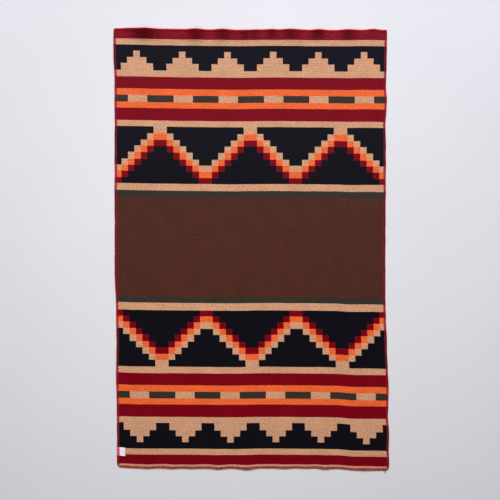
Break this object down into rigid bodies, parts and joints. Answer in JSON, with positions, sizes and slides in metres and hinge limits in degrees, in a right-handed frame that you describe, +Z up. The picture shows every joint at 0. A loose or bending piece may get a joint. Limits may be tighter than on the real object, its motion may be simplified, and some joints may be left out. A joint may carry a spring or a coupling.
{
  "type": "blanket",
  "caption": "Rectangular woven wool blanket laid out flat, with an overlocked yarn edge all round and a small folded label near one corner.",
  "frame": {"origin": "on the surface that the blanket lies on, under the middle of its outline", "axes": "+Z up off the surface, +Y along the blanket towards its head hem, +X across it"},
  "size_m": [1.3216, 2.122, 0.0355],
  "materials": {
    "woven_wool": "fulled double-woven wool with a banded pattern",
    "edging_yarn": "crimson wool yarn, overlocked",
    "satin_tape": "blank white satin tape"
  },
  "bodies": {
    "root": {"cloth": "woven_wool", "edging_head": "edging_yarn", "edging_right": "edging_yarn", "edging_foot": "edging_yarn", "edging_left": "edging_yarn", "label": "satin_tape"}
  },
  "joints": []
}
